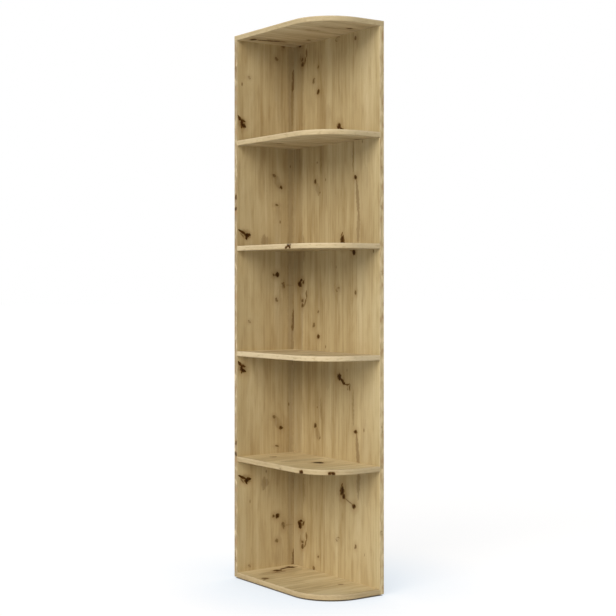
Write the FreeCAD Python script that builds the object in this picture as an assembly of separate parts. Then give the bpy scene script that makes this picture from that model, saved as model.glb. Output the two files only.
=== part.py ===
import FreeCAD, Part
import math
import os

from FreeCAD import Vector

# A tall corner shelf unit of faced particleboard. A deep side panel and a narrow back panel stand at
# a right angle. A top panel caps them, and shelves and a bottom panel fill the angle, each with its
# free corner rounded. Screws and dowels join the boards, caps cover the screws on the outer faces,
# glides carry the unit, and a steel angle on top holds it to a wall.
# Millimetres. The origin is on the floor under the middle of the footprint. +X points to the side
# panel, +Y to the back panel and +Z up, so the open sides face -X and -Y.

# Carcass
overall_width = 245.0  # free edge of the back panel to the outer face of the side panel
overall_depth = 490.0  # free edge of the side panel to the rear face of the back panel
overall_height = 1800.0  # floor to the upper face of the top panel
board = 16.0  # thickness of every board
corner_radius = 140.0  # free corner of the top panel, the shelves and the bottom panel
shelf_count = 4
lowest_height = 368.0  # clear height of the lowest compartment; the others share the rest evenly

# Edge bands on the edges that show
band = 1.0  # thickness
band_easing = 0.5  # rounding of a band's outer long edges
band_flat = 0.2  # least width left flat beside the rounding

# Joining screws with a countersunk head and a hexagon socket
screw_length = 50.0
screw_thread = 7.0  # outer diameter of the thread
screw_core = 5.0  # diameter between the thread's ridges
screw_neck = 6.2  # diameter of the smooth length under the head
screw_head = 10.0
screw_rim = 0.5  # height of the head's straight rim
screw_pitch = 3.0
screw_tip = 4.0  # length of the tapered tip
screw_tip_flat = 2.0  # diameter at the end of the tip
socket_width = 4.0  # across the flats
socket_depth = 3.5
bare_head_depth = 0.5  # how deep a head without a cap sits in the board
screw_inset = 60.0  # from each end of a joint along the side panel to its screw
back_screw_inset = 45.0  # from each end of a joint along the back panel to its screw

# Cover caps, flush with the outer face
cap_thickness = 2.0
cap_overlap = 1.0  # how far a cap reaches past the screw's head
cap_easing = 0.3  # chamfer of the visible rim
cap_peg_length = 2.5  # peg that grips in the screw's socket

# Fluted dowels
dowel_diameter = 8.0
dowel_length = 30.0
dowel_chamfer = 1.0
dowel_cover = 5.0  # board left behind a dowel's hole in a board's face
dowel_flutes = 10
dowel_flute_depth = 0.4
corner_dowel_drop = 60.0  # from the corner screw of a compartment down to its dowel

# Floor glides, each nailed on
glide_height = 4.0
glide_margin = 0.5  # from a glide's rim to the faces of the upright above it
glide_draft = 1.0  # how much narrower a glide's lower rim is, in radius
glide_inset = 20.0  # from an upright's end to the middle of its glide
corner_glide_inset = 30.0  # from the rounded corner to the middle of its glide
nail_diameter = 2.0
nail_head = 4.6
nail_head_height = 1.0
nail_head_depth = 0.6  # from the floor up to the nail's head
nail_point = 2.5  # length of the pointed end
nail_cover = 4.0  # board left above the nail's point

# Wall bracket and its screws
bracket_width = 40.0
bracket_foot = 30.0  # depth of the leg that lies on the top panel
bracket_rise = 25.0  # height of the leg against the wall
bracket_steel = 2.0
bracket_bend = 2.0  # inner radius of the bend
bracket_corner = 4.0  # rounding of the free corners
bracket_hole_inset = 9.0  # from the ends and the front of the foot to its screws
wall_hole = 5.5  # diameter of the hole for the wall screw
wall_hole_height = 15.0  # above the top panel
bracket_screw_thread = 3.5
bracket_screw_core = 2.4
bracket_screw_pitch = 1.4
bracket_screw_head = 7.0
bracket_screw_head_height = 2.2
bracket_screw_dome = 0.8  # height of the head's sloping shoulder
bracket_screw_cover = 4.0  # board left below the screw's tip
cross_width = 1.0  # cross recess in the head
cross_length = 4.0
cross_depth = 1.4

# Clearances
radial_gap = 0.1  # round pieces in their holes
end_gap = 0.5  # beyond the tip of a screw, nail or dowel

# Places worked out from the sizes above
left = -overall_width / 2
right = overall_width / 2
front = -overall_depth / 2
rear = overall_depth / 2
side_inner = right - board
back_inner = rear - board
side_middle = right - board / 2
back_middle = rear - board / 2
upright_top = overall_height - board
lowest_shelf = glide_height + board + lowest_height
shelf_pitch = (upright_top - lowest_shelf) / shelf_count
undersides = {"bottom_panel": glide_height}
for number in range(shelf_count):
    undersides[f"shelf_{number + 1}"] = lowest_shelf + number * shelf_pitch
side_screw_places = [front + screw_inset, back_inner - screw_inset]
side_dowel_place = (front + back_inner) / 2
back_screw_places = [left + back_screw_inset, side_inner - back_screw_inset]
back_dowel_place = (left + side_inner) / 2
bracket_middle = back_dowel_place
tiny = 1e-4
along_x = Vector(1, 0, 0)
along_y = Vector(0, 1, 0)
up = Vector(0, 0, 1)


def block(x_span, y_span, z_span):
    """Box between two places on each axis."""
    low = Vector(x_span[0], y_span[0], z_span[0])
    return Part.makeBox(x_span[1] - x_span[0], y_span[1] - y_span[0], z_span[1] - z_span[0], low)


def rounded_slab(x_span, y_span, z_span, radius):
    """Slab whose left front corner is rounded."""
    bottom = z_span[0]
    cut_in = radius * (1 - math.sqrt(0.5))
    left_rear = Vector(x_span[0], y_span[1], bottom)
    bend_start = Vector(x_span[0], y_span[0] + radius, bottom)
    bend_middle = Vector(x_span[0] + cut_in, y_span[0] + cut_in, bottom)
    bend_end = Vector(x_span[0] + radius, y_span[0], bottom)
    right_front = Vector(x_span[1], y_span[0], bottom)
    right_rear = Vector(x_span[1], y_span[1], bottom)
    edges = [
        Part.LineSegment(left_rear, bend_start).toShape(),
        Part.Arc(bend_start, bend_middle, bend_end).toShape(),
        Part.LineSegment(bend_end, right_front).toShape(),
        Part.LineSegment(right_front, right_rear).toShape(),
        Part.LineSegment(right_rear, left_rear).toShape(),
    ]
    return Part.Face(Part.Wire(edges)).extrude(Vector(0, 0, z_span[1] - bottom))


def ease_edges(solid, chosen):
    """Round the chosen edges by the bands' easing, which their thickness limits."""
    radius = min(band_easing, band - band_flat)
    return solid.makeFillet(radius, [edge for edge in solid.Edges if chosen(edge)])


def turned(points):
    """Solid turned about Z from (radius, height) points that start and end on the axis."""
    corners = [Vector(radius, 0, height) for radius, height in points]
    outline = Part.makePolygon(corners + corners[:1])
    return Part.Face(outline).revolve(Vector(0, 0, 0), up, 360)


def placed(shape, origin, direction):
    """Copy of a shape made along +Z, with its own origin moved and its Z axis turned."""
    place = FreeCAD.Placement(origin, FreeCAD.Rotation(up, direction))
    return shape.transformed(place.toMatrix(), True)


def ridges(core, crest, start, end, pitch):
    """Outline of a thread's ridges as (radius, height) points."""
    turns = max(1, round((end - start) / pitch))
    step = (end - start) / turns
    points = []
    for turn in range(turns):
        points.append((core / 2, start + turn * step))
        points.append((crest / 2, start + (turn + 0.5) * step))
    points.append((core / 2, end))
    return points


def joining_screw(head_depth):
    """Screw along +Z from the top of its head; its neck ends where the second board begins."""
    neck_start = screw_rim + (screw_head - screw_neck) / 2
    thread_end = screw_length - screw_tip
    points = [(0, 0), (screw_head / 2, 0), (screw_head / 2, screw_rim), (screw_neck / 2, neck_start)]
    points += [(screw_neck / 2, board - head_depth)]
    points += ridges(screw_core, screw_thread, board - head_depth, thread_end, screw_pitch)
    points += [(screw_tip_flat / 2, screw_length), (0, screw_length)]
    reach = socket_width / math.sqrt(3)
    angles = [math.radians(60 * number) for number in range(7)]
    corners = [Vector(reach * math.cos(angle), reach * math.sin(angle), 0) for angle in angles]
    socket = Part.Face(Part.makePolygon(corners)).extrude(up * socket_depth)
    return turned(points).cut(socket)


def joining_hole(head_depth, capped):
    """Hole for a joining screw along +Z from the first board's outer face, wider where a cap covers it."""
    head = screw_head / 2 + radial_gap
    shank = screw_thread / 2 + radial_gap
    rim_end = head_depth + screw_rim
    deep = head_depth + screw_length + end_gap
    points = [(0, 0)]
    if capped:
        points += [(head + cap_overlap, 0), (head + cap_overlap, head_depth), (head, head_depth)]
    else:
        points += [(head, 0)]
    points += [(head, rim_end), (shank, rim_end + head - shank), (shank, deep), (0, deep)]
    return turned(points)


def cover_cap():
    """Cap along +Z from its visible face, with the peg that enters the screw's socket."""
    rim = screw_head / 2 + cap_overlap
    peg = socket_width / 2 - radial_gap
    peg_end = cap_thickness + cap_peg_length
    points = [(0, 0), (rim - cap_easing, 0), (rim, cap_easing), (rim, cap_thickness)]
    points += [(peg, cap_thickness), (peg, peg_end), (0, peg_end)]
    return turned(points)


def dowel():
    """Fluted dowel along +Z from its end in the first board."""
    radius = dowel_diameter / 2
    thin = radius - dowel_chamfer
    shoulder = dowel_length - dowel_chamfer
    points = [(0, 0), (thin, 0), (radius, dowel_chamfer), (radius, shoulder)]
    points += [(thin, dowel_length), (0, dowel_length)]
    flute = Part.makeCylinder(dowel_flute_depth, dowel_length, Vector(radius, 0, 0))
    flutes = []
    for number in range(dowel_flutes):
        copy = flute.copy()
        copy.rotate(Vector(0, 0, 0), up, 360 / dowel_flutes * number)
        flutes.append(copy)
    return turned(points).cut(Part.makeCompound(flutes))


def glide():
    """Glide along +Z from the floor, with a stepped hole for its nail."""
    rim = board / 2 - glide_margin
    shaft = nail_diameter / 2 + radial_gap
    head = nail_head / 2 + radial_gap
    head_top = nail_head_depth + nail_head_height
    body = Part.makeCone(rim - glide_draft, rim, glide_height)
    well = Part.makeCylinder(head, head_top)
    return body.cut(well).cut(Part.makeCylinder(shaft, glide_height))


def nail():
    """Nail along +Z from its head, which is sunk in the glide."""
    length = glide_height - nail_head_depth + board - nail_cover
    points = [(0, 0), (nail_head / 2, 0), (nail_head / 2, nail_head_height)]
    points += [(nail_diameter / 2, nail_head_height), (nail_diameter / 2, length - nail_point), (0, length)]
    return turned(points)


def bracket_screw():
    """Screw along +Z from the top of its domed head, with a cross recess."""
    neck = bracket_screw_head_height + bracket_steel
    length = neck + board - bracket_screw_cover
    head = bracket_screw_head / 2
    points = [(0, 0), (head - bracket_screw_dome, 0), (head, bracket_screw_dome)]
    points += [(head, bracket_screw_head_height), (bracket_screw_thread / 2, bracket_screw_head_height)]
    points += [(bracket_screw_thread / 2, neck)]
    thread_end = length - bracket_screw_core
    points += ridges(bracket_screw_core, bracket_screw_thread, neck, thread_end, bracket_screw_pitch)
    points += [(0, length)]
    half_length = (-cross_length / 2, cross_length / 2)
    half_width = (-cross_width / 2, cross_width / 2)
    deep = (0, cross_depth)
    cross = block(half_length, half_width, deep).fuse(block(half_width, half_length, deep))
    return turned(points).cut(cross)


def wall_bracket():
    """Bent steel angle with its foot on the top panel and its back in line with the rear face."""
    base = overall_height
    inside = (rear - bracket_steel, base + bracket_steel)
    x_span = (bracket_middle - bracket_width / 2, bracket_middle + bracket_width / 2)
    toe = rear - bracket_foot
    foot = block(x_span, (toe, rear), (base, base + bracket_steel))
    back = block(x_span, (rear - bracket_steel, rear), (base, base + bracket_rise))
    angle = foot.fuse(back).removeSplitter()

    def runs_along(edge, y, z):
        box = edge.BoundBox
        return box.XLength > tiny and abs(box.YMin - y) < tiny and abs(box.ZMin - z) < tiny

    def free_corner(edge):
        box = edge.BoundBox
        on_toe = box.ZLength > tiny and box.YMax < toe + tiny
        on_rise = box.YLength > tiny and box.ZMin > base + bracket_rise - tiny
        return box.XLength < tiny and (on_toe or on_rise)

    inner_bend = [edge for edge in angle.Edges if runs_along(edge, *inside)]
    angle = angle.makeFillet(bracket_bend, inner_bend)
    outer_bend = [edge for edge in angle.Edges if runs_along(edge, rear, base)]
    angle = angle.makeFillet(bracket_bend + bracket_steel, outer_bend)
    angle = angle.makeFillet(bracket_corner, [edge for edge in angle.Edges if free_corner(edge)])
    screw_hole = bracket_screw_thread / 2 + radial_gap
    for x, y in bracket_screw_places():
        angle = angle.cut(Part.makeCylinder(screw_hole, bracket_steel, Vector(x, y, base), up))
    wall_place = Vector(bracket_middle, rear - bracket_steel, base + wall_hole_height)
    return angle.cut(Part.makeCylinder(wall_hole / 2, bracket_steel, wall_place, along_y))


def bracket_screw_places():
    """Where the foot's screws stand, as (x, y)."""
    offset = bracket_width / 2 - bracket_hole_inset
    y = rear - bracket_foot + bracket_hole_inset
    return [(bracket_middle - offset, y), (bracket_middle + offset, y)]


class Unit:
    """Boards as they are cut, and the groups of pieces that join them."""

    def __init__(self):
        self.boards = {}
        self.bands = {}
        self.groups = {}
        self.cuts = {}

    def add_board(self, name, solid):
        self.boards[name] = solid
        self.cuts[name] = []

    def add_piece(self, group, solid):
        self.groups.setdefault(group, []).append(solid)

    def drill(self, names, cutter):
        for name in names:
            self.cuts[name].append(cutter)

    def screw(self, group, place, direction, names, caps=None):
        """Joining screw from a point on an outer face; with caps its head is sunk under a cap."""
        head_depth = cap_thickness if caps else bare_head_depth
        if caps:
            self.add_piece(caps, placed(cover_cap(), place, direction))
        head_place = place + direction * head_depth
        self.add_piece(group, placed(joining_screw(head_depth), head_place, direction))
        self.drill(names, placed(joining_hole(head_depth, bool(caps)), place, direction))

    def dowel(self, group, place, direction, names):
        """Dowel across a joint, from a point on the joint and towards the board that is met edge on."""
        sunk = board - dowel_cover - end_gap
        start = place - direction * sunk
        self.add_piece(group, placed(dowel(), start, direction))
        radius = dowel_diameter / 2 + radial_gap
        hole_length = dowel_length + 2 * end_gap
        hole = Part.makeCylinder(radius, hole_length, start - direction * end_gap, direction)
        self.drill(names, hole)

    def solids(self):
        """Every node's shape by its name."""
        nodes = {}
        for name, solid in self.boards.items():
            nodes[name] = solid.cut(Part.makeCompound(self.cuts[name]))
        nodes.update(self.bands)
        for name, pieces in self.groups.items():
            nodes[name] = pieces[0] if len(pieces) == 1 else Part.makeCompound(pieces)
        return nodes


def add_uprights(unit):
    """Side panel and back panel, each banded on its free edge."""
    height = (glide_height, upright_top)
    unit.add_board("side_panel", block((side_inner, right), (front + band, rear), height))
    unit.add_board("back_panel", block((left + band, side_inner), (back_inner, rear), height))
    side_band = block((side_inner, right), (front, front + band), height)
    back_band = block((left, left + band), (back_inner, rear), height)

    def on_front(edge):
        return edge.BoundBox.ZLength > tiny and edge.BoundBox.YMax < front + tiny

    def on_left(edge):
        return edge.BoundBox.ZLength > tiny and edge.BoundBox.XMax < left + tiny

    unit.bands["side_panel_band"] = ease_edges(side_band, on_front)
    unit.bands["back_panel_band"] = ease_edges(back_band, on_left)


def front_band(x_end, y_end, z_span):
    """Band along the left edge, round the free corner and along the front edge of a level board."""

    def outer_long(edge):
        box = edge.BoundBox
        joined = box.XMin > x_end - tiny or box.YMin > y_end - tiny
        return box.ZLength < tiny and not joined

    outside = rounded_slab((left, x_end), (front, y_end), z_span, corner_radius)
    inside = rounded_slab((left + band, x_end), (front + band, y_end), z_span, corner_radius - band)
    return ease_edges(outside, outer_long).cut(inside)


def add_levels(unit):
    """Bottom panel and shelves, which fill the angle between the uprights."""
    for name, underside in undersides.items():
        z_span = (underside, underside + board)
        x_span = (left + band, side_inner)
        y_span = (front + band, back_inner)
        unit.add_board(name, rounded_slab(x_span, y_span, z_span, corner_radius - band))
        unit.bands[f"{name}_band"] = front_band(side_inner, back_inner, z_span)


def add_top(unit):
    """Top panel over both uprights, banded all round but for the edge at the wall."""
    z_span = (upright_top, overall_height)
    x_span = (left + band, right - band)
    y_span = (front + band, rear)
    unit.add_board("top_panel", rounded_slab(x_span, y_span, z_span, corner_radius - band))
    unit.bands["top_panel_front_band"] = front_band(right, rear, z_span)
    end_band = block((right - band, right), y_span, z_span)

    def on_right(edge):
        return edge.BoundBox.YLength > tiny and edge.BoundBox.XMin > right - tiny

    unit.bands["top_panel_end_band"] = ease_edges(end_band, on_right)


def join_levels(unit):
    """Screws and a dowel from each upright into every shelf and the bottom panel."""
    for name, underside in undersides.items():
        middle = underside + board / 2
        for y in side_screw_places:
            place = Vector(right, y, middle)
            unit.screw("side_shelf_screws", place, -along_x, ["side_panel", name], "side_screw_caps")
        for x in back_screw_places:
            unit.screw("back_shelf_screws", Vector(x, rear, middle), -along_y, ["back_panel", name])
        side_joint = Vector(side_inner, side_dowel_place, middle)
        unit.dowel("side_dowels", side_joint, -along_x, ["side_panel", name])
        back_joint = Vector(back_dowel_place, back_inner, middle)
        unit.dowel("back_dowels", back_joint, -along_y, ["back_panel", name])


def join_corner(unit):
    """One screw and one dowel from the side panel into the back panel in every compartment."""
    floors = [underside + board for underside in undersides.values()]
    ceilings = list(undersides.values())[1:] + [upright_top]
    for floor, ceiling in zip(floors, ceilings):
        middle = (floor + ceiling) / 2
        both = ["side_panel", "back_panel"]
        place = Vector(right, back_middle, middle)
        unit.screw("corner_screws", place, -along_x, both, "side_screw_caps")
        joint = Vector(side_inner, back_middle, middle - corner_dowel_drop)
        unit.dowel("corner_dowels", joint, -along_x, both)


def join_top(unit):
    """Screws and dowels from the top panel down into both uprights."""
    for y in [front + screw_inset, rear - screw_inset]:
        place = Vector(side_middle, y, overall_height)
        unit.screw("top_screws", place, -up, ["top_panel", "side_panel"], "top_screw_caps")
    for x in back_screw_places:
        place = Vector(x, back_middle, overall_height)
        unit.screw("top_screws", place, -up, ["top_panel", "back_panel"], "top_screw_caps")
    side_joint = Vector(side_middle, (front + rear) / 2, upright_top)
    unit.dowel("top_dowels", side_joint, -up, ["top_panel", "side_panel"])
    back_joint = Vector(back_dowel_place, back_middle, upright_top)
    unit.dowel("top_dowels", back_joint, -up, ["top_panel", "back_panel"])


def add_glides(unit):
    """Glides under the ends of the uprights and under the rounded corner."""
    reach = (corner_radius - corner_glide_inset) * math.sqrt(0.5)
    corner_place = Vector(left + corner_radius - reach, front + corner_radius - reach, 0)
    places = [
        (Vector(side_middle, front + glide_inset, 0), "side_panel"),
        (Vector(side_middle, rear - glide_inset, 0), "side_panel"),
        (Vector(left + glide_inset, back_middle, 0), "back_panel"),
        (corner_place, "bottom_panel"),
    ]
    hole_length = board - nail_cover + end_gap
    for place, name in places:
        unit.add_piece("floor_glides", placed(glide(), place, up))
        unit.add_piece("glide_nails", placed(nail(), place + up * nail_head_depth, up))
        radius = nail_diameter / 2 + radial_gap
        unit.drill([name], Part.makeCylinder(radius, hole_length, place + up * glide_height, up))


def add_bracket(unit):
    """Wall bracket with its screws in the top panel."""
    unit.add_piece("wall_bracket", wall_bracket())
    head_top = overall_height + bracket_steel + bracket_screw_head_height
    hole_length = board - bracket_screw_cover + end_gap
    for x, y in bracket_screw_places():
        unit.add_piece("bracket_screws", placed(bracket_screw(), Vector(x, y, head_top), -up))
        radius = bracket_screw_thread / 2 + radial_gap
        hole = Part.makeCylinder(radius, hole_length, Vector(x, y, overall_height), -up)
        unit.drill(["top_panel"], hole)


def main():
    unit = Unit()
    add_uprights(unit)
    add_levels(unit)
    add_top(unit)
    join_levels(unit)
    join_corner(unit)
    join_top(unit)
    add_glides(unit)
    add_bracket(unit)
    os.makedirs("parts", exist_ok=True)
    for name, shape in unit.solids().items():
        shape.exportStep(f"parts/{name}.step")
        print(name, len(shape.Solids), "solids", round(shape.Volume / 1000, 2), "cm3")


main()
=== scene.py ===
import math

import bpy
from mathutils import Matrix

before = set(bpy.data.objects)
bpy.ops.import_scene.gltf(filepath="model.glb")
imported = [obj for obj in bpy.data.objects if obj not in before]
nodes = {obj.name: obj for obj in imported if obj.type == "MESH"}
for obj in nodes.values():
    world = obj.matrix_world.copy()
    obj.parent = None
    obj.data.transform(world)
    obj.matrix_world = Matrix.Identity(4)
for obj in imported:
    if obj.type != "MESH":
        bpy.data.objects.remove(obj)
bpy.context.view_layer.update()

metre = 1000.0  # millimetres in a metre; the patterns below are written in millimetres

# Camera, as fitted to the photograph
photo_width = 616  # pixels, as are the next two
focal_length = 1354.2
horizon_row = 286.2
camera_turn = -35.15  # degrees from +Y
camera_place = (-2.5154, -3.5781, 0.9687)
sensor_width = 36.0  # millimetres

# Stage, in metres
floor_reach = 60.0  # from the unit to the floor's edges
shadow_reach = 0.6  # how far off the unit darkens the floor
floor_color = (0.84, 0.88, 0.92)  # as it lights the unit
floor_shade = (0.22, 0.20, 0.18)  # share of the lamps' light that shows on it
floor_glow_and_shadow = [  # glow that the camera sees, white in the open and a painted shadow near the unit, from closed in to open
    (0.05, (0.015, 0.012, 0.010)),
    (0.30, (0.100, 0.095, 0.090)),
    (0.46, (0.630, 0.695, 0.755)),
    (0.75, (0.730, 0.785, 0.840)),
    (0.90, (0.810, 0.838, 0.866)),
    (1.00, (0.876, 0.881, 0.886)),
]
world_color = (0.90, 0.97, 1.06)
world_strength = 0.16
white = (1.0, 1.0, 1.0)
key_color = (1.0, 0.993, 0.985)
warm_color = (1.0, 0.985, 0.97)

# Printed oak
print_repeat = 815.0  # along the grain, on the uprights
endless = 1e5  # longer than any board, so that nothing repeats
far_face_shift = 290.0  # along the grain, between the prints on a board's two faces
upright_middle = -8.0  # line about which an upright's outer face is mirrored
knot_depth = 1e3  # third axis of a knot, so large that it plays no part in the shape
jitter_layer = (11.0, 13.0, 0.0)
jitter_reach = 0.65  # in a knot's radii and in a streak's sway
streak_sway = 9.0  # most that a streak's outline wanders
streak_dark = (1.0, 0.3)  # where its dark line starts and is full, in its own width
streak_brown = (2.6, 0.5)  # the same for the brown round it
streak_brown_share = 0.5
noise_middle = 0.5
specular_level = 0.06
board_emboss = 0.12  # depth of the pressed pores
band_emboss = 0.06
band_contrast = 1.4
wood_stops = [
    (0.12, (0.282, 0.188, 0.077)),
    (0.38, (0.411, 0.299, 0.138)),
    (0.60, (0.498, 0.384, 0.195)),
    (0.88, (0.592, 0.482, 0.275)),
]
stave_color = (0.44, 0.285, 0.135)
smudge_color = (0.265, 0.165, 0.062)
pore_color = (0.215, 0.130, 0.048)
speck_color = (0.150, 0.080, 0.025)
halo_color = (0.265, 0.155, 0.052)
dark_color = (0.130, 0.062, 0.014)
heart_color = (0.046, 0.015, 0.001)
crack_color = (0.024, 0.009, 0.001)
dark_tint = (0.225, 0.165, 0.105)
pale_tint = (0.76, 0.63, 0.42)
warm_tint = (0.74, 0.59, 0.33)

# Plastic
cap_color = (0.47, 0.335, 0.165)
cap_darker = (0.36, 0.245, 0.11)
glide_color = (0.075, 0.048, 0.03)
glide_darker = (0.04, 0.026, 0.018)

# What knots and streaks pass on to the wood
marks = {"Warp": "f", "Brown": "f", "Dark": "f", "Black": "f"}


def even(value):
    """The same value on all three axes."""
    return (value, value, value)


def opaque(color):
    return (*color, 1.0)


class Field:
    """A node's output, so that node maths reads like maths."""

    def __init__(self, graph, socket):
        self.graph = graph
        self.socket = socket

    def __add__(self, other):
        return self.graph.math("ADD", self, other)

    def __radd__(self, other):
        return self.graph.math("ADD", other, self)

    def __sub__(self, other):
        return self.graph.math("SUBTRACT", self, other)

    def __rsub__(self, other):
        return self.graph.math("SUBTRACT", other, self)

    def __mul__(self, other):
        return self.graph.math("MULTIPLY", self, other)

    def __rmul__(self, other):
        return self.graph.math("MULTIPLY", other, self)

    def __truediv__(self, other):
        return self.graph.math("DIVIDE", self, other)

    def __rtruediv__(self, other):
        return self.graph.math("DIVIDE", other, self)

    def __abs__(self):
        return self.graph.math("ABSOLUTE", self)

    def ramp(self, start, end):
        """Smooth step from 0 at start to 1 at end, whichever is the larger."""
        made = self.graph.node("ShaderNodeMapRange", interpolation_type="SMOOTHSTEP", clamp=True)
        rising = start < end
        settings = {
            "Value": self,
            "From Min": min(start, end),
            "From Max": max(start, end),
            "To Min": 0.0 if rising else 1.0,
            "To Max": 1.0 if rising else 0.0,
        }
        self.graph.wire_all(made, settings)
        return Field(self.graph, made.outputs["Result"])


class Graph:
    """One node tree and short ways to add to it."""

    # Places of a mix node's colours, which share their names with its other inputs and outputs
    mix_colors = (6, 7)
    mix_result = 2

    def __init__(self, tree):
        self.tree = tree

    def node(self, kind, **settings):
        made = self.tree.nodes.new(kind)
        for name, value in settings.items():
            setattr(made, name, value)
        return made

    def wire(self, socket, value):
        if isinstance(value, Field):
            self.tree.links.new(value.socket, socket)
        else:
            socket.default_value = value

    def wire_all(self, node, values):
        for name, value in values.items():
            self.wire(node.inputs[name], value)

    def math(self, operation, *values, clamp=False):
        made = self.node("ShaderNodeMath", operation=operation, use_clamp=clamp)
        for socket, value in zip(made.inputs, values):
            self.wire(socket, value)
        return Field(self, made.outputs[0])

    def vector(self, operation, *values, output="Vector"):
        made = self.node("ShaderNodeVectorMath", operation=operation)
        for socket, value in zip(made.inputs, values):
            self.wire(socket, value)
        return Field(self, made.outputs[output])

    def dot(self, first, second):
        return self.vector("DOT_PRODUCT", first, second, output="Value")

    def length(self, vector):
        return self.vector("LENGTH", vector, output="Value")

    def scale(self, vector, factor):
        made = self.node("ShaderNodeVectorMath", operation="SCALE")
        self.wire(made.inputs[0], vector)
        self.wire(made.inputs["Scale"], factor)
        return Field(self, made.outputs[0])

    def join(self, x, y, z=0.0):
        made = self.node("ShaderNodeCombineXYZ")
        for socket, value in zip(made.inputs, (x, y, z)):
            self.wire(socket, value)
        return Field(self, made.outputs[0])

    def split(self, vector):
        made = self.node("ShaderNodeSeparateXYZ")
        self.wire(made.inputs[0], vector)
        return [Field(self, socket) for socket in made.outputs]

    def noise(self, place, detail=2.0, roughness=0.5, color=False):
        made = self.node("ShaderNodeTexNoise", noise_dimensions="3D")
        self.wire_all(made, {"Vector": place, "Scale": 1.0, "Detail": detail, "Roughness": roughness})
        return Field(self, made.outputs["Color" if color else "Fac"])

    def cells(self, place, output="Color", feature="F1", randomness=1.0):
        made = self.node("ShaderNodeTexVoronoi", voronoi_dimensions="3D", feature=feature)
        self.wire_all(made, {"Vector": place, "Scale": 1.0, "Randomness": randomness})
        return Field(self, made.outputs[output])

    def stretch(self, across, along, layer, lane=0.0):
        """Place in a pattern that is drawn out along the grain. A layer is the size of its marks across and
        along the grain, and an offset that sets it apart from the other layers of its lane."""
        wide, long, offset = layer
        return self.join(across / wide, along / long, lane + offset if offset else lane)

    def grain(self, across, along, layer, lane=0.0, **settings):
        return self.noise(self.stretch(across, along, layer, lane), **settings)

    def speckle(self, place, scale, **settings):
        """Noise with so many marks in a millimetre on each axis."""
        return self.noise(self.vector("MULTIPLY", place, scale), **settings)

    def mix(self, factor, first, second):
        made = self.node("ShaderNodeMix", data_type="RGBA")
        self.wire(made.inputs[0], factor)
        for number, value in zip(self.mix_colors, (first, second)):
            self.wire(made.inputs[number], value if isinstance(value, Field) else opaque(value))
        return Field(self, made.outputs[self.mix_result])

    def color_ramp(self, factor, stops):
        made = self.node("ShaderNodeValToRGB")
        elements = made.color_ramp.elements
        while len(elements) < len(stops):
            elements.new(0.5)
        for element, (position, color) in zip(elements, stops):
            element.position = position
            element.color = opaque(color)
        self.wire(made.inputs[0], factor)
        return Field(self, made.outputs[0])

    def place(self):
        """Where the shaded point is, in millimetres, in the part's own frame."""
        made = self.node("ShaderNodeTexCoord")
        return self.vector("MULTIPLY", Field(self, made.outputs["Object"]), even(metre))

    def face_normal(self):
        made = self.node("ShaderNodeNewGeometry")
        return Field(self, made.outputs["True Normal"])

    def use(self, group, **inputs):
        """Node of a shared group, and its outputs by name."""
        made = self.node("ShaderNodeGroup", node_tree=group)
        self.wire_all(made, inputs)
        return {socket.name: Field(self, socket) for socket in made.outputs}

    def shader(self, kind, *inputs, **named_inputs):
        """Output of a new shader node, with inputs in their order or by name."""
        made = self.node(kind)
        for socket, value in zip(made.inputs, inputs):
            self.wire(socket, value)
        self.wire_all(made, named_inputs)
        return Field(self, made.outputs[0])

    def surface(self, color, roughness, height, depth, metallic=0.0):
        """Shader with its colour, its roughness and a bump of a depth given in millimetres."""
        bump = self.shader("ShaderNodeBump", Strength=1.0, Distance=depth / metre, Height=height)
        settings = {"Metallic": metallic, "Specular IOR Level": specular_level, "Base Color": color}
        settings.update({"Roughness": roughness, "Normal": bump})
        shader = self.shader("ShaderNodeBsdfPrincipled", **settings)
        self.wire_all(self.node("ShaderNodeOutputMaterial"), {"Surface": shader})

    def show(self, lighting, shown, output):
        """Ends in one shader for what the camera sees, straight, by a reflection or through glass, and
        another for all other light."""
        path = self.node("ShaderNodeLightPath")
        camera, glossy, through = (
            Field(self, path.outputs[f"Is {kind} Ray"]) for kind in ("Camera", "Glossy", "Transmission")
        )
        seen = self.math("ADD", camera + glossy, through, clamp=True)
        either = self.shader("ShaderNodeMixShader", seen, lighting, shown)
        self.wire_all(self.node(output), {"Surface": either})


def new_group(name, inputs, outputs):
    """Empty shared node group with its sockets, as (tree, graph, inputs by name, output node)."""
    tree = bpy.data.node_groups.new(name, "ShaderNodeTree")
    kinds = {"v": "NodeSocketVector", "f": "NodeSocketFloat", "c": "NodeSocketColor"}
    for way, sockets in (("INPUT", inputs), ("OUTPUT", outputs)):
        for socket_name, kind in sockets.items():
            tree.interface.new_socket(socket_name, in_out=way, socket_type=kinds[kind])
    graph = Graph(tree)
    source = graph.node("NodeGroupInput")
    fields = {name: Field(graph, source.outputs[name]) for name in inputs}
    return tree, graph, fields, graph.node("NodeGroupOutput")


def new_material(name):
    material = bpy.data.materials.new(name)
    material.use_nodes = True
    material.node_tree.nodes.clear()
    return material, Graph(material.node_tree)


def away_from_centre(graph, given):
    """Way from a mark's centre to the shaded point, from the nearest repeat of the print."""
    away = graph.vector("SUBTRACT", given["Place"], given["Centre"])
    half_repeat = graph.vector("MULTIPLY", given["Repeat"], even(0.5))
    minus_half = graph.vector("MULTIPLY", given["Repeat"], even(-0.5))
    return graph.vector("WRAP", away, half_repeat, minus_half)


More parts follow.
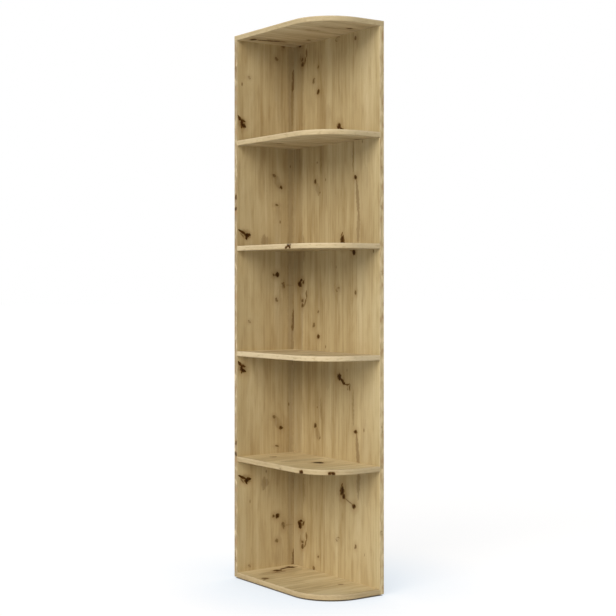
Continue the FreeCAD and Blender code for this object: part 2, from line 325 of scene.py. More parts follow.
def knot_group():
    """One knot: it bends the grain round itself and adds its brown halo, dark heart and black crack.
    Distances are in the knot's own radii, and an edge is where a tone starts and where it is full."""
    heart_edge = (1.45, 0.3)
    halo_edge = (3.6, 0.6)
    open_halo = 0.4
    solid_halo = 0.5
    rim_radius = 0.9
    rim_edge = (0.45, 0.0)
    rim_share = 0.35
    ring_wave = 11.0
    ring_share = 0.2
    crack_slant = (0.9, 0.35, 0.0)
    crack_side = (0.4, 0.1)
    crack_end = (0.95, 0.3)
    break_wave = (2.3, 1.7, 0.0)
    break_phase = 0.8
    break_edge = (-0.5, 0.6)
    bend_shape = (0.85, 0.5, 0.0)
    bend_strength = 0.35
    bend_softness = 0.6
    inputs = {"Place": "v", "Jitter": "v", "Centre": "v", "Size": "v", "Turn": "f", "Repeat": "v"}
    inputs.update({"Fill": "f", **marks})
    tree, graph, given, end = new_group("oak_knot", inputs, marks)
    away = away_from_centre(graph, given)
    turn = graph.node("ShaderNodeVectorRotate", rotation_type="Z_AXIS")
    graph.wire_all(turn, {"Vector": away, "Angle": given["Turn"]})
    shape = graph.vector("DIVIDE", Field(graph, turn.outputs[0]), given["Size"])
    rough = graph.vector("ADD", shape, given["Jitter"])
    distance = graph.length(rough)
    heart = distance.ramp(*heart_edge)
    rim = abs(distance - rim_radius).ramp(*rim_edge)
    halo = distance.ramp(*halo_edge)
    rings = graph.math("SINE", distance * ring_wave) * 0.5 + 0.5
    slant = graph.dot(rough, crack_slant)
    crack = abs(slant).ramp(*crack_side) * distance.ramp(*crack_end)
    hollow = 1.0 - given["Fill"]
    wave = graph.dot(rough, break_wave)
    breaks = graph.math("SINE", wave + break_phase).ramp(*break_edge)
    solid = heart * given["Fill"] * ((1.0 - ring_share) + rings * ring_share)
    dark = solid + rim * hollow * breaks * rim_share
    stretched = graph.vector("MULTIPLY", shape, bend_shape)
    near = graph.dot(stretched, stretched)
    sideways = graph.dot(away, (1.0, 0.0, 0.0))
    bend = sideways * (bend_strength / (near + bend_softness))
    graph.wire_all(end, {
        "Warp": given["Warp"] - bend,
        "Brown": given["Brown"] + halo * (open_halo + given["Fill"] * solid_halo),
        "Dark": graph.math("MAXIMUM", given["Dark"], dark),
        "Black": graph.math("MAXIMUM", given["Black"], crack * given["Fill"]),
    })
    return tree


def streak_group():
    """One dark streak: a line that tapers from its middle to both ends."""
    taper = 1.05  # a little over 1, so that the ends keep a width
    inputs = {"Place": "v", "Jitter": "v", "Centre": "v", "Reach": "v", "Repeat": "v"}
    inputs.update({"Width": "f", "Sway": "f", "Depth": "f", "Brown": "f", "Dark": "f"})
    tree, graph, given, end = new_group("oak_streak", inputs, {"Brown": "f", "Dark": "f"})
    away = away_from_centre(graph, given)
    length = graph.dot(given["Reach"], given["Reach"])
    along = graph.dot(away, given["Reach"]) / length
    along = graph.math("MINIMUM", graph.math("MAXIMUM", along, -1.0), 1.0)
    off = graph.vector("SUBTRACT", away, graph.scale(given["Reach"], along))
    off = graph.vector("ADD", off, graph.scale(given["Jitter"], given["Sway"]))
    distance = graph.length(off)
    share = distance / (given["Width"] * (taper - along * along))
    dark = share.ramp(*streak_dark) * given["Depth"]
    graph.wire_all(end, {
        "Dark": graph.math("MAXIMUM", given["Dark"], dark),
        "Brown": given["Brown"] + share.ramp(*streak_brown) * given["Depth"] * streak_brown_share,
    })
    return tree


def oak_group():
    """Printed oak: staves, flowing growth rings, streaks, pores and the knots' colours. An edge is where a
    tone starts and where it is full, and a share is how much a layer adds to the tone or to the colour."""
    stave_width = 92.0
    stave_unevenness = 0.55
    stave_share = 0.2
    hue_share = 0.12
    lane_gap = 7.0  # keeps the patterns of neighbouring staves apart
    cell_middle = 0.5
    wobble_layer = (110.0, 420.0, 0.0)
    wobble_reach = 14.0
    figure_layer = (62.0, 560.0, 0.0)
    ring_count = 90.0
    ring_drift = 0.12
    ring_share = 0.025
    broad_layer = (26.0, 950.0, 11.0)
    broad_share = 0.6
    streak_layer = (6.0, 420.0, 23.0)
    streak_share = 0.5
    fine_layer = (1.3, 90.0, 31.0)
    fine_share = 0.25
    pore_layer = (0.55, 9.0, 47.0)
    pore_edge = (0.6, 0.74)
    pore_share = 0.3
    late_wood = (-0.2, 0.9)
    late_wood_pores = 0.55
    cloud_layer = (75.0, 260.0, 59.0)
    cloud_share = 0.35
    fleck_layer = (7.0, 50.0, 71.0)
    fleck_edge = (0.55, 0.75)
    fleck_share = 0.09
    smudge_layer = (21.0, 120.0, 83.0)
    smudge_share = 0.3
    stain_edge = (0.45, 0.25)
    stain_share = 0.2
    speck_layer = (50.0, 100.0, 97.0)
    speck_edge = (0.09, 0.03)
    speck_chance = (0.45, 0.65)
    speck_share = 0.75
    even_brown = 0.35
    streaky_brown = 0.9
    halo_share = 0.5
    dark_edge = (0.0, 0.62)
    heart_edge = (0.45, 1.0)
    crack_share = 0.8
    clear_edge = (0.6, 0.0)
    mean_tone = 0.57
    mean_roughness = 0.50
    fine_roughness = 0.12
    dark_roughness = 0.08
    pore_roughness = 0.1
    inputs = {"Grain": "v", "Seed": "f", "Contrast": "f", **marks}
    outputs = {"Color": "c", "Roughness": "f", "Clear": "f"}
    tree, graph, given, end = new_group("oak_decor", inputs, outputs)
    across, along, _ = graph.split(given["Grain"])
    seed = given["Seed"]
    wobble = graph.grain(across, along, wobble_layer, seed, detail=1.0) - noise_middle
    flow = across + given["Warp"] + wobble * wobble_reach
    stave_place = graph.join(across / stave_width + seed, cell_middle, cell_middle)
    stave = graph.cells(stave_place, randomness=stave_unevenness)
    stave_tone, stave_hue, stave_shift = graph.split(stave)
    lane = seed + stave_shift * lane_gap
    figure = graph.grain(flow, along, figure_layer, lane, detail=1.5, roughness=0.4)
    rings = graph.math("SINE", figure * ring_count + flow * ring_drift)
    broad = graph.grain(flow, along, broad_layer, lane)
    streaks = graph.grain(flow, along, streak_layer, lane)
    fine = graph.grain(flow, along, fine_layer, seed, roughness=0.6)
    pores = graph.grain(flow, along, pore_layer, seed, detail=1.0)
    pore = pores.ramp(*pore_edge) * ((1.0 - late_wood_pores) + rings.ramp(*late_wood) * late_wood_pores)
    cloud = graph.grain(across, along, cloud_layer, seed)
    fleck = graph.grain(flow, along, fleck_layer, seed, detail=1.0).ramp(*fleck_edge)
    smudge = graph.grain(flow, along, smudge_layer, lane, detail=1.5, roughness=0.45)
    lines = (broad - noise_middle) * broad_share + (streaks - noise_middle) * streak_share
    lines = lines + (fine - noise_middle) * fine_share - rings * ring_share
    patches = (stave_tone - noise_middle) * stave_share + (cloud - noise_middle) * cloud_share
    patches = patches + (smudge - noise_middle) * smudge_share - fleck * fleck_share
    tone = mean_tone + (lines + patches) * given["Contrast"]
    wood = graph.color_ramp(tone, wood_stops)
    wood = graph.mix(stave_hue * hue_share, wood, stave_color)
    wood = graph.mix(smudge.ramp(*stain_edge) * stain_share, wood, smudge_color)
    wood = graph.mix(pore * pore_share, wood, pore_color)
    speck_place = graph.stretch(flow, along, speck_layer, seed)
    chance, _, _ = graph.split(graph.cells(speck_place))
    speck = graph.cells(speck_place, output="Distance").ramp(*speck_edge) * chance.ramp(*speck_chance)
    wood = graph.mix(speck * speck_share, wood, speck_color)
    brown = graph.math("MINIMUM", given["Brown"], 1.0) * (even_brown + streaks * streaky_brown)
    wood = graph.mix(brown * halo_share, wood, halo_color)
    wood = graph.mix(given["Dark"].ramp(*dark_edge), wood, dark_color)
    wood = graph.mix(given["Dark"].ramp(*heart_edge), wood, heart_color)
    wood = graph.mix(given["Black"] * crack_share, wood, crack_color)
    clear = given["Dark"].ramp(*clear_edge)
    roughness = mean_roughness + (fine - noise_middle) * fine_roughness
    roughness = roughness + given["Dark"] * dark_roughness + pore * pore_roughness
    graph.wire_all(end, {"Color": wood, "Clear": clear, "Roughness": roughness})
    return tree


def emboss_group():
    """Pores pressed into the facing along the grain, not in step with the print."""
    pore_layer = (0.7, 14.0, 5.0)
    pore_edge = (0.52, 0.72)
    hammer_layer = (4.0, 30.0, 9.0)
    hammer_share = 0.5
    tree, graph, given, end = new_group("pore_emboss", {"Across": "f", "Along": "f"}, {"Height": "f"})
    pores = graph.grain(given["Across"], given["Along"], pore_layer, detail=1.0)
    hammer = graph.grain(given["Across"], given["Along"], hammer_layer, detail=1.0)
    graph.wire_all(end, {"Height": hammer * hammer_share - pores.ramp(*pore_edge)})
    return tree


def chipboard_group():
    """Raw particleboard: flattened chips of many tones, with open pits between them."""
    chip_scale = (0.34, 0.34, 0.6)  # chips in a millimetre
    chip_bend = even(1.6)
    dust_scale = even(2.6)
    chip_stops = [
        (0.05, (0.190, 0.110, 0.048)),
        (0.45, (0.390, 0.262, 0.128)),
        (0.95, (0.560, 0.415, 0.235)),
    ]
    chip_tone = 0.75
    dust_tone = 0.35
    darkening = 0.05
    red_chip = (0.42, 0.23, 0.10)
    red_share = 0.18
    pit_edge = (0.02, 0.11)
    pit_color = (0.120, 0.068, 0.030)
    pit_depth = 0.6
    dust_depth = 0.4
    chip_depth = 0.3
    tree, graph, given, end = new_group("chipboard", {"Place": "v"}, {"Color": "c", "Height": "f"})
    bent = graph.vector("MULTIPLY", given["Place"], chip_scale)
    shake = graph.vector("SUBTRACT", graph.noise(bent, color=True), even(noise_middle))
    spread = graph.vector("MULTIPLY_ADD", shake, chip_bend, bent)
    chip, chip_hue, _ = graph.split(graph.cells(spread))
    whole = graph.cells(spread, output="Distance", feature="DISTANCE_TO_EDGE").ramp(*pit_edge)
    dust = graph.speckle(given["Place"], dust_scale)
    tone = chip * chip_tone + dust * dust_tone - darkening
    color = graph.color_ramp(tone, chip_stops)
    color = graph.mix(chip_hue * red_share, color, red_chip)
    color = graph.mix(1.0 - whole, color, pit_color)
    graph.wire_all(end, {"Color": color, "Height": whole * pit_depth + dust * dust_depth + chip * chip_depth})
    return tree


oak_knot = knot_group()
oak_streak = streak_group()
oak_decor = oak_group()
pore_emboss = emboss_group()
chipboard = chipboard_group()


def oak_with_knots(graph, across, along, seed, repeat, contrast, knots, streaks, painted_corner_shade=None):
    """Printed oak with its knots and streaks, and with a painted corner shade where one is given: darker
    paint where the corner's shadow falls.
    """
    flat = graph.join(across, along)
    shaken = graph.grain(across, along, jitter_layer, seed, roughness=0.45, color=True)
    whole_jitter = (2 * jitter_reach, 2 * jitter_reach, 0.0)
    jitter = graph.vector("MULTIPLY_ADD", shaken, whole_jitter, (-jitter_reach, -jitter_reach, 0.0))
    span = (endless, repeat, endless)
    sums = dict.fromkeys(marks, 0.0)
    # Painted shade: darker along a strip next to the corner, where the corner's shadow falls
    if painted_corner_shade:
        shade_across, shade_width, shade_depth = painted_corner_shade
        sway, _, _ = graph.split(jitter)
        share = abs((across - shade_across + sway * min(shade_width, streak_sway)) / shade_width)
        sums["Brown"] = share.ramp(*streak_brown) * shade_depth * streak_brown_share
        sums["Dark"] = share.ramp(*streak_dark) * shade_depth
    for centre_across, centre_along, half_width, half_length, turn, fill in knots:
        sums = graph.use(
            oak_knot,
            Place=flat,
            Jitter=jitter,
            Centre=(centre_across, centre_along, 0.0),
            Size=(half_width, half_length, knot_depth),
            Turn=math.radians(turn),
            Repeat=span,
            Fill=fill,
            **sums,
        )
    for start_across, start_along, end_across, end_along, width, depth in streaks:
        added = graph.use(
            oak_streak,
            Place=flat,
            Jitter=jitter,
            Centre=((start_across + end_across) / 2, (start_along + end_along) / 2, 0.0),
            Reach=((end_across - start_across) / 2, (end_along - start_along) / 2, 0.0),
            Repeat=span,
            Width=width,
            Sway=min(width, streak_sway),
            Depth=depth,
            Brown=sums["Brown"],
            Dark=sums["Dark"],
        )
        sums = {**sums, **added}
    return graph.use(oak_decor, Grain=flat, Seed=seed, Contrast=contrast, **sums)


def board_material(
    name, axes, shown, middle, share, tint, seed, repeat, contrast, knots, streaks, painted_corner_shade=None
):
    """Faced board. axes names the way across the grain, along it and through the board. The knots are laid
    on the face that shown points to. The other face has the same print, mirrored about middle and shifted.
    share is how much of the tint is mixed in; on the level boards the tint is painted light and shade."""
    facing = 0.5
    cut_edge = (0.7, 0.4)
    raw_roughness = 0.85
    raw_height = 3.0
    material, graph = new_material(name)
    place = graph.place()
    by_axis = dict(zip("xyz", graph.split(place)))
    normal = dict(zip("xyz", graph.split(graph.face_normal())))
    across, along, outward = by_axis[axes[0]], by_axis[axes[1]], normal[axes[2]]
    far_face = graph.math("GREATER_THAN", outward * -shown, facing)
    print_across = across + far_face * (2.0 * middle - 2.0 * across)
    print_along = along + far_face * far_face_shift
    oak = oak_with_knots(graph, print_across, print_along, seed, repeat, contrast, knots, streaks, painted_corner_shade)
    raw = graph.use(chipboard, Place=place)
    cut = abs(outward).ramp(*cut_edge)
    # On the level boards the tint is painted light, and under shelf_3 painted shade
    color = graph.mix(oak["Clear"] * share, oak["Color"], tint)
    color = graph.mix(cut, color, raw["Color"])
    roughness = oak["Roughness"] + cut * (raw_roughness - oak["Roughness"])
    pressed = graph.use(pore_emboss, Across=across, Along=along)["Height"]
    height = pressed + cut * (raw["Height"] * raw_height - pressed)
    graph.surface(color, roughness, height, board_emboss)
    return material


# Knots as (across, along, half width, half length, turn in degrees, fill) and streaks as (from across, from
# along, to across, to along, width, depth). Across and along are the part's own axes. A fill of 1 is a solid
# heart and 0 an open ring. A painted corner shade is the dark strip next to the corner, painted shade where
# the corner's shadow falls, as (across, width, depth).
side_knots = [
    (194.0, 161.0, 12.0, 14.0, 20.0, 1.0),
    (173.0, 166.0, 6.0, 10.0, -20.0, 0.6),
    (177.0, 88.0, 9.0, 9.0, 0.0, 0.55),
    (178.0, 104.0, 8.0, 6.0, 0.0, 0.5),
    (112.0, 24.0, 8.0, 9.0, 0.0, 0.42),
    (86.0, 800.0, 9.0, 8.0, 20.0, 0.75),
    (86.0, 68.0, 5.0, 5.0, 0.0, 0.4),
    (103.0, 503.0, 8.0, 8.0, 0.0, 0.62),
    (-31.0, 674.0, 12.0, 12.0, 30.0, 1.0),
    (-85.0, 641.0, 14.0, 12.0, 0.0, 0.1),
    (-48.0, 304.0, 12.0, 15.0, -10.0, 0.88),
    (-55.0, 286.0, 9.0, 10.0, -15.0, 0.9),
    (-110.0, 262.0, 10.0, 10.0, 0.0, 1.0),
    (-119.0, 502.0, 9.0, 8.0, 0.0, 0.85),
    (-119.0, 133.0, 6.0, 8.0, 0.0, 0.45),
    (-25.0, 143.0, 13.0, 9.0, 0.0, 0.1),
]
side_painted_corner_shade = (211.0, 54.0, 0.21)
side_streaks = [
    (-176.0, 270.0, -172.0, 540.0, 62.0, 0.11),
    (34.0, 625.0, 30.0, 755.0, 42.0, 0.13),
    (184.0, -210.0, 182.0, 390.0, 16.0, 0.22),
    (197.0, 158.0, 185.0, 150.0, 6.0, 0.9),
    (195.0, 173.0, 176.0, 175.0, 6.0, 0.85),
    (172.0, 146.0, 174.0, 78.0, 17.0, 0.13),
    (156.0, 142.0, 153.0, 110.0, 7.0, 0.42),
    (154.0, 116.0, 168.0, 86.0, 6.0, 0.42),
    (190.0, 128.0, 186.0, 94.0, 5.0, 0.34),
    (-34.0, 670.0, -66.0, 648.0, 9.0, 0.85),
    (-64.0, 650.0, -86.0, 650.0, 5.0, 0.55),
    (-84.0, 652.0, -90.0, 628.0, 5.0, 0.5),
    (-123.0, 505.0, -138.0, 360.0, 14.0, 0.32),
    (-137.0, 420.0, -132.0, 280.0, 14.0, 0.28),
    (-106.0, 512.0, -106.0, 640.0, 7.0, 0.3),
    (70.0, 520.0, 72.0, 605.0, 4.0, 0.3),
    (79.0, 466.0, 74.0, 464.0, 7.0, 0.5),
    (97.0, 500.0, 82.0, 454.0, 18.0, 0.22),
    (97.0, 566.0, 87.0, 565.0, 6.0, 0.3),
    (170.0, 230.0, 172.0, 330.0, 10.0, 0.25),
    (-57.0, 284.0, -106.0, 265.0, 4.0, 0.36),
    (-40.0, 316.0, -52.0, 330.0, 5.0, 0.5),
]
back_knots = [
    (-101.0, 689.0, 10.0, 9.0, 0.0, 1.0),
    (-84.0, 322.0, 10.0, 8.0, 0.0, 1.0),
    (39.0, 192.0, 9.0, 9.0, 0.0, 0.9),
    (23.0, 192.0, 5.0, 6.0, 0.0, 0.5),
    (62.0, 156.0, 8.0, 11.0, 0.0, 0.38),
    (35.0, 107.0, 7.0, 7.0, 0.0, 0.4),
    (-75.0, 35.0, 6.0, 5.0, 0.0, 0.22),
    (53.0, 488.0, 8.0, 7.0, 0.0, 0.7),
    (25.0, 527.0, 8.0, 6.0, 0.0, 0.42),
    (36.0, 428.0, 8.0, 4.0, 0.0, 0.45),
]
back_painted_corner_shade = (92.0, 18.0, 0.19)
back_streaks = [
    (46.0, -110.0, 46.0, 150.0, 32.0, 0.12),
    (38.0, 290.0, 40.0, 430.0, 26.0, 0.12),
    (99.0, -130.0, 99.0, 70.0, 11.0, 0.26),
    (30.0, 532.0, 46.0, 484.0, 22.0, 0.21),
    (-112.0, 714.0, -94.0, 680.0, 24.0, 0.26),
    (-119.0, 722.0, -106.0, 702.0, 7.0, 0.8),
    (-109.0, 706.0, -88.0, 701.0, 6.0, 0.75),
    (-107.0, 706.0, -102.0, 690.0, 8.0, 0.9),
    (-104.0, 693.0, -86.0, 683.0, 7.0, 0.9),
    (-102.0, 692.0, -105.0, 677.0, 6.0, 0.7),
    (-112.0, 338.0, -68.0, 316.0, 22.0, 0.26),
    (-119.0, 343.0, -84.0, 323.0, 7.0, 0.85),
    (-90.0, 326.0, -66.0, 325.0, 8.0, 0.9),
    (-87.0, 328.0, -83.0, 307.0, 8.0, 0.9),
    (-111.0, 331.0, -94.0, 314.0, 5.0, 0.4),
    (-14.0, 330.0, -18.0, 280.0, 17.0, 0.24),
    (-2.0, 322.0, -4.0, 292.0, 10.0, 0.22),
    (70.0, 157.0, 104.0, 156.0, 4.0, 0.25),
    (104.0, 895.0, 103.0, 815.0, 8.0, 0.42),
    (98.0, 842.0, 100.0, 815.0, 5.0, 0.45),
]
top_knots = [
    (187.0, -87.0, 15.0, 13.0, 0.0, 1.0),
    (90.0, 70.0, 7.0, 10.0, 0.0, 0.7),
    (-60.0, -20.0, 12.0, 22.0, 0.0, 0.1),
    (-150.0, 60.0, 8.0, 12.0, 0.0, 0.9),
]
top_streaks = [
    (187.0, -80.0, 160.0, 42.0, 13.0, 0.7),
    (160.0, -60.0, 150.0, 10.0, 9.0, 0.4),
    (-122.0, -60.0, -128.0, 60.0, 9.0, 0.3),
    (-60.0, -90.0, -66.0, 40.0, 9.0, 0.25),
]
bottom_knots = [
    (196.0, 70.0, 15.0, 13.0, 0.0, 1.0),
    (176.0, 2.0, 15.0, 22.0, 0.0, 0.8),
    (95.0, -98.0, 13.0, 12.0, 0.0, 0.6),
    (-115.0, 50.0, 8.0, 9.0, 0.0, 0.5),
]
bottom_streaks = [
    (150.0, -90.0, 150.0, 90.0, 56.0, 0.22),
    (200.0, 72.0, 186.0, 20.0, 11.0, 0.75),
    (150.0, -40.0, 156.0, 30.0, 9.0, 0.45),
    (72.0, -120.0, 98.0, -96.0, 8.0, 0.35),
    (190.0, 40.0, 188.0, 96.0, 8.0, 0.5),
]
shelf_1_knots = [
    (-55.0, 6.0, 22.0, 17.0, 0.0, 1.0),
    (-52.0, 14.0, 16.0, 12.0, 0.0, 1.0),
    (150.0, -30.0, 12.0, 12.0, 0.0, 0.45),
]
shelf_1_streaks = [
    (30.0, -90.0, 30.0, 90.0, 44.0, 0.26),
    (-53.0, -10.0, -56.0, 26.0, 17.0, 1.0),
    (-40.0, -40.0, -60.0, 70.0, 8.0, 0.3),
]
shelf_2_knots = [(-85.0, -40.0, 9.0, 16.0, 0.0, 0.5), (120.0, 40.0, 7.0, 11.0, 0.0, 0.7)]
shelf_2_streaks = [(150.0, -90.0, 150.0, 90.0, 56.0, 0.25), (-85.0, -90.0, -80.0, -50.0, 5.0, 0.3)]
shelf_3_knots = [(-110.0, -95.0, 10.0, 14.0, 0.0, 0.5), (70.0, 20.0, 9.0, 14.0, 0.0, 0.4)]
shelf_3_streaks = [
    (150.0, -120.0, 150.0, 120.0, 70.0, 0.16),
    (-130.0, -120.0, -130.0, 120.0, 110.0, 0.13),
    (40.0, -60.0, 42.0, 40.0, 5.0, 0.25),
]
shelf_4_knots = [(95.0, -40.0, 9.0, 15.0, 0.0, 0.5), (-150.0, 90.0, 8.0, 12.0, 0.0, 0.5)]
shelf_4_streaks = [(30.0, -90.0, 30.0, 90.0, 48.0, 0.2), (92.0, -100.0, 96.0, -20.0, 5.0, 0.3)]

# Uprights as (axes across, along and through the board, seed, knots, streaks, painted corner shade)
uprights = {
    "side_panel": ("yzx", 3.0, side_knots, side_streaks, side_painted_corner_shade),
    "back_panel": ("xzy", 8.0, back_knots, back_streaks, back_painted_corner_shade),
}

# Level boards as (face that shows: 1 the upper and -1 the lower, share of tint, tint, seed, contrast, knots,
# streaks). The tint is painted light that makes the shown faces paler, and under shelf_3 painted shade with
# the dark tint.
level_boards = {
    "top_panel": (-1.0, 0.28, pale_tint, 14.0, 2.0, top_knots, top_streaks),
    "bottom_panel": (1.0, 0.34, warm_tint, 20.0, 3.0, bottom_knots, bottom_streaks),
    "shelf_1": (1.0, 0.42, warm_tint, 26.0, 2.8, shelf_1_knots, shelf_1_streaks),
    "shelf_2": (1.0, 0.26, pale_tint, 32.0, 2.6, shelf_2_knots, shelf_2_streaks),
    "shelf_3": (-1.0, 0.16, dark_tint, 38.0, 2.0, shelf_3_knots, shelf_3_streaks),
    "shelf_4": (-1.0, 0.20, pale_tint, 44.0, 2.2, shelf_4_knots, shelf_4_streaks),
}

# Level bands as (height of the middle, share of tint, tint, strength of the painted highlight along the upper
# edge); some are tinted darker or paler
level_bands = {
    "bottom_panel_band": (12.0, 0.14, dark_tint, 0.45),
    "shelf_1_band": (396.0, 0.13, dark_tint, 0.4),
    "shelf_2_band": (745.0, 0.32, pale_tint, 0.8),
    "shelf_3_band": (1094.0, 0.20, pale_tint, 0.8),
    "shelf_4_band": (1443.0, 0.14, pale_tint, 0.8),
    "top_panel_front_band": (1792.0, 0.14, dark_tint, 0.8),
    "top_panel_end_band": (1792.0, 0.14, dark_tint, 0.8),
}

# Knots on the bands. Across and along are height and x - y on the level ones, and the reverse on the
# upright ones.
level_band_knots = {
    "shelf_1_band": [
        (392.0, 19.0, 9.0, 10.0, 0.0, 0.95),
        (393.0, 150.0, 8.0, 8.0, 0.0, 0.9),
        (393.0, 164.0, 9.0, 9.0, 0.0, 1.0),
        (391.0, -95.0, 4.0, 6.0, 0.0, 0.35),
    ],
    "shelf_3_band": [
        (1090.0, -63.0, 6.0, 8.0, 20.0, 0.8),
        (1098.0, -52.0, 8.0, 8.0, -20.0, 1.0),
        (1090.0, -43.0, 8.0, 7.0, 0.0, 1.0),
        (1100.0, -40.0, 5.0, 6.0, 0.0, 0.8),
    ],
}
side_band_knots = [
    (358.0, 195.0, 6.0, 8.0, 0.0, 0.2),
    (360.0, 517.0, 5.0, 11.0, 0.0, 0.2),
    (358.0, 401.0, 5.0, 6.0, 0.0, 0.2),
]
back_band_knots = [
    (-358.0, 449.0, 8.0, 9.0, 0.0, 0.9),
    (-360.0, 411.0, 9.0, 8.0, 0.0, 0.95),
    (-360.0, 60.0, 7.0, 10.0, 0.0, 0.4),
]

# Upright bands as (material, x - y along the middle, share of tint, tint, knots)
upright_bands = {
    "side_panel_band": ("oak_side_band", 359.5, 0.36, warm_tint, side_band_knots),
    "back_panel_band": ("oak_back_band", -359.5, 0.58, dark_tint, back_band_knots),
}


def level_band_material(name, middle, share, tint, painted_highlight, knots):
    """Edge band of a level board: oak that runs along the band, a little paler than the boards, with a
    painted highlight along its upper eased edge and painted shade along the lower one. middle is the height
    of its middle."""
    seed = 61.0
    band_color = (0.60, 0.46, 0.265)
    band_share = 0.45
    mottle_layer = (24.0, 7.0, 13.0)
    mottle_edge = (0.52, 0.72)
    mottle_color = (0.33, 0.225, 0.105)
    mottle_share = 0.4
    uneven_layer = (18.0, 3.0, 3.0)
    upper_edge = (2.5, 8.0)
    upper_highlight_color = (0.78, 0.64, 0.41)
    lower_edge = (-4.0, -8.0)
    lower_shade_color = (0.24, 0.16, 0.07)
    painted_lower_shade = 0.7
    material, graph = new_material(name)
    x, y, z = graph.split(graph.place())
    along = x - y
    oak = oak_with_knots(graph, z, along, seed, endless, band_contrast, knots, [])
    color = graph.mix(oak["Clear"] * band_share, oak["Color"], band_color)
    color = graph.mix(oak["Clear"] * share, color, tint)
    mottle = graph.grain(along, z, mottle_layer, middle).ramp(*mottle_edge)
    color = graph.mix(oak["Clear"] * mottle * mottle_share, color, mottle_color)
    uneven = graph.grain(along, z, uneven_layer)
    # Painted highlight along the upper eased edge, and below it painted shade along the lower edge
    color = graph.mix((z - middle).ramp(*upper_edge) * uneven * painted_highlight, color, upper_highlight_color)
    color = graph.mix((z - middle).ramp(*lower_edge) * uneven * painted_lower_shade, color, lower_shade_color)
    pressed = graph.use(pore_emboss, Across=z, Along=along)["Height"]
    graph.surface(color, oak["Roughness"], pressed, band_emboss)
    return material


def upright_band_material(name, middle, share, tint, knots):
    """Edge band of an upright, with its grain standing, and a painted highlight along both eased edges.
    middle is x - y along the middle of the band."""
    seed = 73.0
    stripe_layer = (3.5, 260.0, 17.0)
    stripe_share = 0.45
    dark_stripe = (0.30, 0.205, 0.095)
    pale_stripe = (0.80, 0.655, 0.39)
    mottle_layer = (9.0, 34.0, 29.0)
    dark_mottle = (0.38, 0.225, 0.105)
    dark_share = 0.7
    pale_mottle = (0.82, 0.64, 0.39)
    pale_share = 0.55
    uneven_layer = (3.0, 25.0, 3.0)
    eased_edge = (5.0, 8.0)
    edge_highlight_color = (0.70, 0.55, 0.33)
    painted_highlight = 0.5
    darker = (0.5, 0.3)
    paler = (0.5, 0.7)
    material, graph = new_material(name)
    x, y, z = graph.split(graph.place())
    across = x - y
    oak = oak_with_knots(graph, across, z, seed, print_repeat, band_contrast, knots, [])
    color = graph.mix(oak["Clear"] * share, oak["Color"], tint)
    stripe = graph.grain(across, z, stripe_layer)
    color = graph.mix(stripe.ramp(*darker) * stripe_share, color, dark_stripe)
    color = graph.mix(stripe.ramp(*paler) * stripe_share, color, pale_stripe)
    mottle = graph.grain(across, z, mottle_layer, detail=1.5)
    color = graph.mix(mottle.ramp(*darker) * oak["Clear"] * dark_share, color, dark_mottle)
    color = graph.mix(mottle.ramp(*paler) * oak["Clear"] * pale_share, color, pale_mottle)
    uneven = graph.grain(across, z, uneven_layer)
    # Painted highlight along both eased edges
    color = graph.mix(abs(across - middle).ramp(*eased_edge) * uneven * painted_highlight, color, edge_highlight_color)
    pressed = graph.use(pore_emboss, Across=across, Along=z)["Height"]
    graph.surface(color, oak["Roughness"], pressed, band_emboss)
    return material


def steel_material():
    """Zinc-plated steel with fine drawn lines and a cloudy, slightly blue and yellow plating."""
    plating = [
        (0.3, (0.50, 0.51, 0.53)),
        (0.55, (0.60, 0.60, 0.58)),
        (0.75, (0.64, 0.61, 0.53)),
    ]
    cloud_scale = even(0.25)
    line_scale = (6.0, 0.35, 6.0)
    least_roughness = 0.28
    cloud_roughness = 0.16
    line_roughness = 0.08
    material, graph = new_material("zinc_steel")
    place = graph.place()
    cloud = graph.speckle(place, cloud_scale, detail=3.0)
    lines = graph.speckle(place, line_scale)
    color = graph.color_ramp(cloud, plating)
    roughness = least_roughness + cloud * cloud_roughness + lines * line_roughness
    graph.surface(color, roughness, lines, depth=0.01, metallic=1.0)
    return material


def plastic_material(name, color, darker, roughness):
    """Moulded plastic with a faint grain and uneven gloss."""
    grain_scale = even(3.0)
    grain_share = 0.2
    grain_roughness = 0.15
    cloud_scale = even(0.15)
    cloud_share = 0.6
    material, graph = new_material(name)
    place = graph.place()
    grain = graph.speckle(place, grain_scale)
    cloud = graph.speckle(place, cloud_scale)
    mottled = graph.mix(cloud * cloud_share + grain * grain_share, color, darker)
    graph.surface(mottled, roughness + grain * grain_roughness, grain, depth=0.03)
    return material


def dowel_material():
    """Beech with short flecks."""
    beech = [(0.3, (0.46, 0.28, 0.14)), (0.7, (0.62, 0.42, 0.24))]
    fleck_scale = even(0.9)
    least_roughness = 0.6
    fleck_roughness = 0.15
    material, graph = new_material("beech_dowel")
    fleck = graph.speckle(graph.place(), fleck_scale, detail=3.0)
    color = graph.color_ramp(fleck, beech)
    graph.surface(color, least_roughness + fleck * fleck_roughness, fleck, depth=0.05)
    return material


def dress(names, material):
    """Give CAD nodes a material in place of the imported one."""
    for name in names:
        slots = nodes[name].data.materials
        slots.clear()
        slots.append(material)


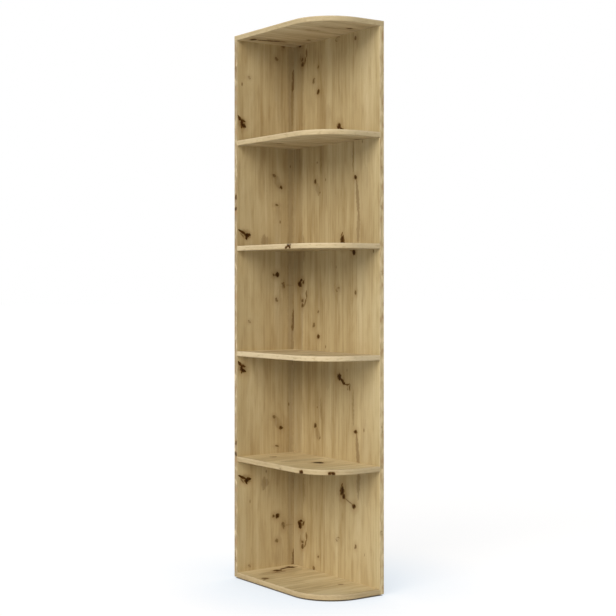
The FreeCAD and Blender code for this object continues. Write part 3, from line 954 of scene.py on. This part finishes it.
def dress_part():
    for name, (axes, seed, knots, streaks, painted_corner_shade) in uprights.items():
        look = {"shown": -1.0, "middle": upright_middle, "share": 0.0, "tint": pale_tint, "seed": seed}
        look.update({"repeat": print_repeat, "contrast": 1.0, "knots": knots, "streaks": streaks})
        dress([name], board_material("oak_" + name, axes, painted_corner_shade=painted_corner_shade, **look))
    for name, (shown, share, tint, seed, contrast, knots, streaks) in level_boards.items():
        look = {"shown": shown, "middle": 0.0, "share": share, "tint": tint, "seed": seed}
        look.update({"repeat": endless, "contrast": contrast, "knots": knots, "streaks": streaks})
        dress([name], board_material("oak_" + name, "yxz", **look))
    for name, look in level_bands.items():
        dress([name], level_band_material("oak_" + name, *look, level_band_knots.get(name, [])))
    for name, look in upright_bands.items():
        dress([name], upright_band_material(*look))
    steel = steel_material()
    dress(["side_shelf_screws", "back_shelf_screws", "corner_screws", "top_screws"], steel)
    dress(["bracket_screws", "wall_bracket", "glide_nails"], steel)
    cap = plastic_material("cap_plastic", cap_color, cap_darker, roughness=0.42)
    dress(["side_screw_caps", "top_screw_caps"], cap)
    glide = plastic_material("glide_plastic", glide_color, glide_darker, roughness=0.4)
    dress(["floor_glides"], glide)
    dress(["side_dowels", "back_dowels", "corner_dowels", "top_dowels"], dowel_material())


def add_object(name, data):
    made = bpy.data.objects.new(name, data)
    bpy.context.scene.collection.objects.link(made)
    return made


def add_floor():
    """Plain pale floor that reaches the horizon, with a painted shadow that darkens it near the unit."""
    mesh = bpy.data.meshes.new("floor")
    corners = [(-1, -1), (1, -1), (1, 1), (-1, 1)]
    mesh.from_pydata([(x * floor_reach, y * floor_reach, 0.0) for x, y in corners], [], [(0, 1, 2, 3)])
    floor = add_object("floor", mesh)
    material, graph = new_material("pale_floor")
    lighting = graph.shader("ShaderNodeBsdfDiffuse", Color=opaque(floor_color))
    shaded = graph.shader("ShaderNodeBsdfDiffuse", Color=opaque(floor_shade))
    # The camera sees a glow that darkens where the unit closes the floor in: a painted shadow round its foot,
    # on top of the lamps' real shadow
    nearby = graph.node("ShaderNodeAmbientOcclusion")
    graph.wire(nearby.inputs["Distance"], shadow_reach)
    glow_color = graph.color_ramp(Field(graph, nearby.outputs["AO"]), floor_glow_and_shadow)
    glow = graph.shader("ShaderNodeEmission", Color=glow_color)
    graph.show(lighting, graph.shader("ShaderNodeAddShader", shaded, glow), "ShaderNodeOutputMaterial")
    mesh.materials.append(material)


def add_world():
    """Even soft light, with a white background for the camera and for reflections."""
    world = bpy.data.worlds.new("studio")
    bpy.context.scene.world = world
    world.use_nodes = True
    world.node_tree.nodes.clear()
    graph = Graph(world.node_tree)
    lighting = graph.shader("ShaderNodeBackground", Color=opaque(world_color), Strength=world_strength)
    background = graph.shader("ShaderNodeBackground", Color=opaque(white), Strength=1.0)
    graph.show(lighting, background, "ShaderNodeOutputWorld")


def add_far_light(name, turn, climb, spread, strength, color):
    """Very soft light from far off, even over the whole floor; turn is in degrees from -Y towards -X."""
    data = bpy.data.lights.new(name, "SUN")
    data.angle = math.radians(spread)
    data.energy = strength * math.pi
    data.color = color
    lamp = add_object(name, data)
    lamp.rotation_euler = (math.radians(90.0 - climb), 0.0, math.radians(-turn))


def add_fill(place, width, height, strength, color):
    """Low soft light that faces the foot of the unit."""
    data = bpy.data.lights.new("fill", "AREA")
    data.shape = "RECTANGLE"
    data.size = width
    data.size_y = height
    distance = math.hypot(place[0], place[1])
    data.energy = strength * (math.pi * distance) ** 2
    data.color = color
    lamp = add_object("fill", data)
    lamp.location = place
    lamp.rotation_euler = (math.pi / 2, 0.0, math.atan2(place[0], -place[1]))
    lamp.visible_camera = False


def add_camera():
    data = bpy.data.cameras.new("camera")
    data.sensor_width = sensor_width
    data.lens = focal_length * sensor_width / photo_width
    data.shift_y = (horizon_row - photo_width / 2) / photo_width
    data.dof.use_dof = False
    camera = add_object("camera", data)
    camera.location = camera_place
    camera.rotation_euler = (math.pi / 2, 0.0, math.radians(camera_turn))
    bpy.context.scene.camera = camera


dress_part()
add_floor()
add_world()
add_far_light("key", turn=59.0, climb=32.5, spread=48.0, strength=0.94, color=key_color)
add_far_light("rear", turn=226.0, climb=18.0, spread=60.0, strength=0.2, color=warm_color)
add_fill(place=(-2.2, -1.6, 0.35), width=1.2, height=0.6, strength=0.07, color=warm_color)
add_camera()
bpy.context.scene.view_settings.view_transform = "Standard"
